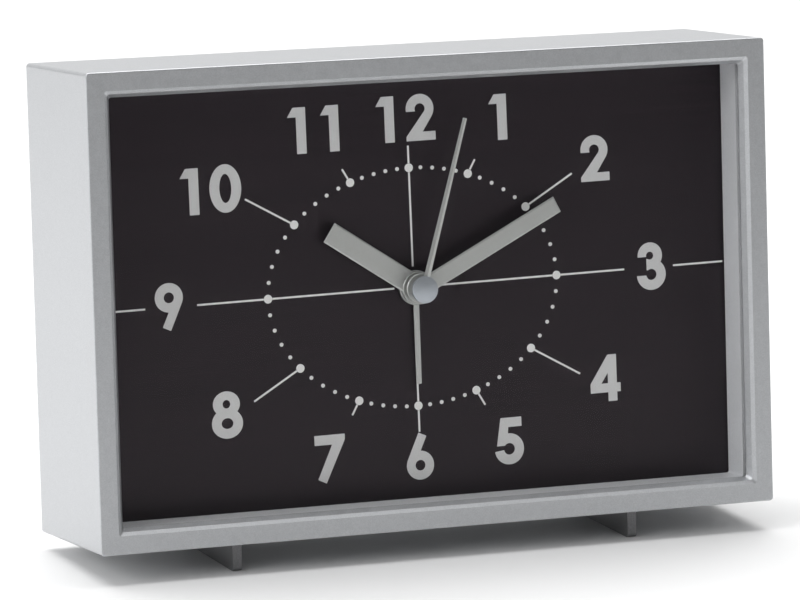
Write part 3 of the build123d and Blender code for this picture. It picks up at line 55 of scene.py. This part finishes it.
# Sockets that are asked for by their number
OBJECT_POINT = 3
CELL_COLOUR = 1
WAVE_HEIGHT = 1
MIX_AMOUNT = 0
MIX_FIRST_COLOUR = 6
MIX_SECOND_COLOUR = 7
MIXED_COLOUR = 2


class Finish:
    """A node material, built from one Principled shader."""

    def __init__(self, name, **settings):
        self.material = bpy.data.materials.new(name)
        self.material.use_nodes = True
        self.tree = self.material.node_tree
        self.shader = self.tree.nodes["Principled BSDF"]
        for socket, value in settings.items():
            self.shader.inputs[socket.replace("_", " ")].default_value = value

    def node(self, kind, settings=None, inputs=None, output=0):
        """Adds a node: its settings first, then the values or links of its sockets."""
        node = self.tree.nodes.new(kind)
        for name, value in (settings or {}).items():
            setattr(node, name, value)
        for key, value in (inputs or {}).items():
            self.join(value, node.inputs[key])
        return Value(self, node.outputs[output])

    def join(self, value, socket):
        """A link for a Value, a plain setting for a number or colour."""
        if isinstance(value, Value):
            self.tree.links.new(value.socket, socket)
        elif socket.type == "RGBA" and len(value) == 3:
            socket.default_value = (*value, 1.0)
        else:
            socket.default_value = value

    def place(self):
        """The point on the object, in metres."""
        return self.node("ShaderNodeTexCoord", output=OBJECT_POINT)

    def stretched(self, scales):
        """The point on the object, scaled differently along each axis."""
        return self.node("ShaderNodeVectorMath", {"operation": "MULTIPLY"}, {0: self.place(), 1: scales})

    def noise(self, scales, detail=2.0, rough=0.5):
        """Smooth noise from 0 to 1, with so many features to the metre along each axis."""
        inputs = {"Vector": self.stretched(scales), "Scale": 1.0, "Detail": detail, "Roughness": rough}
        return self.node("ShaderNodeTexNoise", {}, inputs)

    def grain(self, features, detail=3.0, rough=0.5):
        """Noise that is the same along every axis."""
        return self.noise((features, features, features), detail, rough)

    def cells(self, scale):
        """Flat random cells, each with its own value."""
        tone = self.node("ShaderNodeTexVoronoi", {}, {"Vector": self.place(), "Scale": scale}, CELL_COLOUR)
        return self.node("ShaderNodeSeparateColor", {}, {0: tone})

    def between(self, amount, first, second):
        """A colour between two others."""
        inputs = {MIX_AMOUNT: amount, MIX_FIRST_COLOUR: first, MIX_SECOND_COLOUR: second}
        return self.node("ShaderNodeMix", {"data_type": "RGBA"}, inputs, MIXED_COLOUR)

    def spread(self, value, low, high, start=0.3, end=0.7):
        """A value in one range brought to another, and kept inside it."""
        return self.node("ShaderNodeMapRange", {}, {0: value, 1: start, 2: end, 3: low, 4: high})

    def colour(self, value):
        self.join(value, self.shader.inputs["Base Color"])

    def roughness(self, value):
        self.join(value, self.shader.inputs["Roughness"])

    def bump(self, height, strength, distance):
        """Fine relief."""
        bump = self.node("ShaderNodeBump", {}, {"Height": height, "Strength": strength, "Distance": distance})
        self.join(bump, self.shader.inputs["Normal"])


def silver_paint():
    """Silver paint with fine metal flakes."""
    paint = Finish("silver_paint", Metallic=0.7, Specular_IOR_Level=0.5, Coat_Weight=0.1, Coat_Roughness=0.25)
    flakes = paint.cells(8500.0)
    cloud = paint.grain(700.0)
    tone = flakes * 0.5 + cloud * 0.5
    paint.colour(paint.between(paint.spread(tone, 0.0, 1.0), (0.45, 0.46, 0.475), (0.53, 0.54, 0.555)))
    paint.roughness(paint.spread(cloud, 0.32, 0.40))
    paint.bump(flakes * 0.6 + cloud * 0.4, 0.1, 0.00003)
    return paint.material


def inner_satin():
    """Pale satin paint of the wall between the lens and the dial."""
    paint = Finish("inner_satin", Metallic=0.15)
    grain = paint.grain(2600.0)
    paint.colour(paint.between(paint.spread(grain, 0.0, 1.0), (0.74, 0.75, 0.77), (0.82, 0.83, 0.85)))
    paint.roughness(paint.spread(grain, 0.38, 0.5))
    paint.bump(grain, 0.08, 0.00002)
    return paint.material


def brushed_dial():
    """Dark anodised sheet brushed from side to side."""
    dial = Finish("brushed_dial", Metallic=0.6, Specular_IOR_Level=0.4)
    streaks = dial.noise((40.0, 40.0, 9000.0), 4.0, 0.65)
    broad = dial.noise((12.0, 12.0, 900.0), 2.0)
    tone = streaks * 0.7 + broad * 0.3
    dial.colour(dial.between(dial.spread(tone, 0.0, 1.0), (0.021, 0.016, 0.020), (0.036, 0.027, 0.033)))
    dial.roughness(dial.spread(streaks, 0.34, 0.48))
    dial.bump(tone, 0.18, 0.00003)
    return dial.material


def printed_silver():
    """Satin silver print with a slightly grainy face."""
    ink = Finish("printed_silver", Metallic=0.4)
    grain = ink.grain(7000.0, 2.0)
    ink.colour(ink.between(ink.spread(grain, 0.0, 1.0), (0.70, 0.70, 0.70), (0.80, 0.80, 0.80)))
    ink.roughness(ink.spread(grain, 0.38, 0.5))
    ink.bump(grain, 0.15, 0.00002)
    return ink.material


def white_print():
    """Plain white ink of the dots and thin lines."""
    ink = Finish("white_print")
    grain = ink.grain(5000.0, 2.0)
    ink.colour(ink.between(grain, (0.90, 0.90, 0.89), (0.96, 0.96, 0.95)))
    ink.roughness(ink.spread(grain, 0.42, 0.54))
    ink.bump(grain, 0.1, 0.00002)
    return ink.material


def satin_hand(name, dark, light):
    """Satin metal of the hands, brushed very finely."""
    metal = Finish(name, Metallic=0.6)
    grain = metal.noise((2500.0, 2500.0, 9000.0), 3.0)
    metal.colour(metal.between(metal.spread(grain, 0.0, 1.0), dark, light))
    metal.roughness(metal.spread(grain, 0.32, 0.44))
    metal.bump(grain, 0.12, 0.00002)
    return metal.material


def clear_lens():
    """Clear lens with faint smears in its polish."""
    lens = Finish("clear_lens", Alpha=0.04, IOR=1.49, Specular_IOR_Level=0.5)
    smear = lens.grain(60.0)
    lens.colour(lens.between(smear, (0.02, 0.022, 0.024), (0.03, 0.032, 0.034)))
    lens.roughness(lens.spread(smear, 0.02, 0.06))
    return lens.material


def moulded(name, dark, light, rough=0.5, grain=3200.0, depth=0.35):
    """Moulded plastic with a fine spark-eroded grain."""
    plastic = Finish(name)
    pits = plastic.grain(grain, 3.0, 0.6)
    cloud = plastic.grain(120.0, 2.0)
    plastic.colour(plastic.between(plastic.spread(cloud, 0.0, 1.0), dark, light))
    plastic.roughness(plastic.spread(pits, rough - 0.07, rough + 0.08))
    plastic.bump(pits, depth, 0.00005)
    return plastic.material


def metal(name, dark, light, rough):
    """Bare or plated metal with fine working marks."""
    bare = Finish(name, Metallic=1.0)
    marks = bare.grain(2600.0)
    bare.colour(bare.between(bare.spread(marks, 0.0, 1.0), dark, light))
    bare.roughness(bare.spread(marks, rough - 0.06, rough + 0.1))
    bare.bump(marks, 0.12, 0.00002)
    return bare.material


def dark_fin():
    """Dark satin paint of the fins."""
    paint = Finish("dark_fin", Metallic=0.6)
    grain = paint.grain(3800.0)
    paint.colour(paint.between(paint.spread(grain, 0.0, 1.0), (0.16, 0.16, 0.165), (0.23, 0.23, 0.235)))
    paint.roughness(paint.spread(grain, 0.36, 0.48))
    paint.bump(grain, 0.2, 0.00003)
    return paint.material


def wound_wire():
    """Enamelled copper wire lying in close turns."""
    wire = Finish("wound_wire", Metallic=1.0)
    inputs = {"Vector": wire.place(), "Scale": 900.0, "Distortion": 0.2}
    turns = wire.node("ShaderNodeTexWave", {"bands_direction": "X"}, inputs, WAVE_HEIGHT)
    wire.colour(wire.between(turns, (0.35, 0.12, 0.05), (0.78, 0.36, 0.18)))
    wire.roughness(wire.spread(turns, 0.3, 0.45, 0.0, 1.0))
    wire.bump(turns, 0.8, 0.0001)
    return wire.material


FINISHES = {
    "case_silver": silver_paint(),
    "lens_clear": clear_lens(),
    "dial_dark": brushed_dial(),
    "print_silver": printed_silver(),
    "hand_silver": satin_hand("satin_hand", (0.50, 0.51, 0.495), (0.59, 0.60, 0.585)),
    "cap_steel": satin_hand("satin_cap", (0.42, 0.45, 0.49), (0.52, 0.55, 0.59)),
    "fin_dark": dark_fin(),
    "screw_steel": metal("screw_steel", (0.50, 0.50, 0.49), (0.66, 0.66, 0.65), 0.3),
    "plastic_black": moulded("plastic_black", (0.018, 0.018, 0.019), (0.028, 0.028, 0.030), 0.5),
    "plastic_grey": moulded("plastic_grey", (0.17, 0.17, 0.175), (0.22, 0.22, 0.225), 0.5),
    "knob_black": moulded("knob_black", (0.022, 0.022, 0.023), (0.034, 0.034, 0.035), 0.42, 5000.0, 0.2),
    "wheel_cream": moulded("wheel_cream", (0.72, 0.67, 0.54), (0.80, 0.76, 0.64), 0.35, 4000.0, 0.1),
    "brass": metal("brass", (0.60, 0.42, 0.17), (0.74, 0.56, 0.27), 0.28),
    "board_green": moulded("board_green", (0.02, 0.12, 0.05), (0.04, 0.19, 0.08), 0.32, 2600.0, 0.2),
    "chip_black": moulded("chip_black", (0.010, 0.010, 0.010), (0.016, 0.016, 0.016), 0.25, 1500.0, 0.2),
    "can_silver": metal("can_silver", (0.62, 0.62, 0.61), (0.76, 0.76, 0.75), 0.22),
    "copper": wound_wire(),
    "iron": metal("iron", (0.38, 0.38, 0.39), (0.50, 0.50, 0.52), 0.38),
    "magnet_grey": moulded("magnet_grey", (0.09, 0.09, 0.095), (0.14, 0.14, 0.145), 0.4),
    "bobbin_white": moulded("bobbin_white", (0.76, 0.75, 0.71), (0.84, 0.83, 0.79), 0.4),
    "cell_sleeve": moulded("cell_sleeve", (0.03, 0.045, 0.16), (0.05, 0.07, 0.22), 0.25, 1800.0, 0.1),
    "switch_red": moulded("switch_red", (0.42, 0.022, 0.016), (0.52, 0.034, 0.024), 0.35, 3000.0, 0.15),
}

# Pieces whose finish differs from the one of their slot
WHITE_PRINT = white_print()
OWN_FINISHES = {
    "spacer_frame": inner_satin(),
    "dial_hour_dots": WHITE_PRINT,
    "dial_minute_dots": WHITE_PRINT,
    "dial_lines": WHITE_PRINT,
}

for part in frame["record"]["subparts"]:
    mesh = nodes[part["node"]].data
    mesh.materials.clear()
    mesh.materials.append(OWN_FINISHES.get(part["node"], FINISHES[part["material_slot"]]))


# Softened edges

EDGE_SEGMENTS = 2
SHARP_ANGLE = 35.0

# Width of the rounding in millimetres
SOFT_EDGES = {
    "case_shell": 0.18,
    "spacer_frame": 0.12,
    "rear_cover": 0.2,
    "movement_rear_shell": 0.15,
    "battery_door": 0.15,
    "left_foot_fin": 0.12,
    "right_foot_fin": 0.12,
    "set_knob": 0.12,
    "alarm_knob": 0.12,
    "alarm_switch": 0.12,
    "dial_numerals": 0.03,
    "hour_hand": 0.05,
    "minute_hand": 0.05,
    "second_hand_cap": 0.1,
}


def soften(name, width):
    """Rounds the sharp edges of a piece a little, so that they catch the light."""
    edge = nodes[name].modifiers.new("soft_edges", "BEVEL")
    edge.width = width * MM
    edge.segments = EDGE_SEGMENTS
    edge.limit_method = "ANGLE"
    edge.angle_limit = radians(SHARP_ANGLE)
    edge.harden_normals = False


for name, width in SOFT_EDGES.items():
    soften(name, width)


# Floor, lights and camera

TABLE_RINGS = (0.5, 1.0, 2.0, 4.0, 9.0)
TABLE_SIDES = 96


def floor():
    """A wide pale table top under the clock."""
    shape = bmesh.new()
    centre = shape.verts.new((0, 0, 0))
    last = None
    for radius in TABLE_RINGS:
        turns = [2 * pi * side / TABLE_SIDES for side in range(TABLE_SIDES)]
        ring = [shape.verts.new((radius * cos(turn), radius * sin(turn), 0)) for turn in turns]
        for side in range(TABLE_SIDES):
            following = (side + 1) % TABLE_SIDES
            if last:
                shape.faces.new((last[side], ring[side], ring[following], last[following]))
            else:
                shape.faces.new((centre, ring[side], ring[following]))
        last = ring
    mesh = bpy.data.meshes.new("table_top")
    shape.to_mesh(mesh)
    shape.free()
    top = bpy.data.objects.new("table_top", mesh)
    bpy.context.scene.collection.objects.link(top)
    pale = Finish("pale_table", Specular_IOR_Level=0.2)
    cloud = pale.grain(3.0, 2.0)
    pale.colour(pale.between(cloud, (0.86, 0.86, 0.86), (0.90, 0.90, 0.90)))
    pale.roughness(pale.spread(cloud, 0.6, 0.75))
    mesh.materials.append(pale.material)


WHITE = (1.0, 1.0, 1.0)
COOL_WHITE = (0.98, 0.99, 1.0)
MIDDLE_OF_CLOCK = (0, 0, 0.05)


def softbox(name, at, size, power, colour=WHITE):
    """A flat rectangular lamp that looks at the clock."""
    lamp = bpy.data.lights.new(name, "AREA")
    lamp.shape = "RECTANGLE"
    lamp.size = size[0]
    lamp.size_y = size[1]
    lamp.energy = power
    lamp.color = colour
    box = bpy.data.objects.new(name, lamp)
    box.location = at
    box.rotation_mode = "QUATERNION"
    box.rotation_quaternion = (Vector(MIDDLE_OF_CLOCK) - Vector(at)).to_track_quat("-Z", "Y")
    bpy.context.scene.collection.objects.link(box)


def studio():
    """Soft light from the front left and above, and a weak fill from the front."""
    softbox("left_softbox", (-1.5, -0.45, 0.75), (0.9, 0.9), 11.0, COOL_WHITE)
    softbox("top_softbox", (0.0, 0.35, 1.5), (1.8, 1.4), 28.0)
    softbox("front_softbox", (-0.9, -1.5, 1.3), (0.7, 0.7), 2.0)


# Brightness of the room, and how far toward the front and back it keeps changing
ROOM_IN_FRONT = 0.06
ROOM_BEHIND = 0.75
FADE_FRONT = -0.9
FADE_BACK = 0.5


def room():
    """A plain room, dim in front of the dial and bright behind the clock."""
    world = bpy.data.worlds.new("studio_room")
    bpy.context.scene.world = world
    world.use_nodes = True
    tree = world.node_tree
    background = tree.nodes["Background"]
    background.inputs["Color"].default_value = (*WHITE, 1.0)
    toward = tree.nodes.new("ShaderNodeTexCoord")
    split = tree.nodes.new("ShaderNodeSeparateXYZ")
    fade = tree.nodes.new("ShaderNodeMapRange")
    fade.inputs["From Min"].default_value = FADE_FRONT
    fade.inputs["From Max"].default_value = FADE_BACK
    fade.inputs["To Min"].default_value = ROOM_IN_FRONT
    fade.inputs["To Max"].default_value = ROOM_BEHIND
    tree.links.new(toward.outputs["Generated"], split.inputs[0])
    tree.links.new(split.outputs["Y"], fade.inputs["Value"])
    tree.links.new(fade.outputs[0], background.inputs["Strength"])
    bpy.context.scene.view_settings.view_transform = "Standard"


CAMERA_AT = Vector((-0.45322, -1.15064, 0.27596))
CAMERA_RIGHT = Vector((0.93075, -0.365652, 0.001082))
CAMERA_UP = Vector((0.06433, 0.166661, 0.983917))
CAMERA_LENS = 265.1
CAMERA_SENSOR = 36.0
CAMERA_NEAREST = 0.05
CAMERA_FARTHEST = 50.0


def photo_camera():
    """The camera where the photograph was taken from."""
    data = bpy.data.cameras.new("photo_camera")
    data.lens = CAMERA_LENS
    data.sensor_width = CAMERA_SENSOR
    data.clip_start = CAMERA_NEAREST
    data.clip_end = CAMERA_FARTHEST
    camera = bpy.data.objects.new("photo_camera", data)
    backward = CAMERA_RIGHT.cross(CAMERA_UP)
    turn = Matrix((CAMERA_RIGHT, CAMERA_UP, backward)).transposed().to_4x4()
    camera.matrix_world = Matrix.Translation(CAMERA_AT) @ turn
    bpy.context.scene.collection.objects.link(camera)
    bpy.context.scene.camera = camera


floor()
studio()
room()
photo_camera()
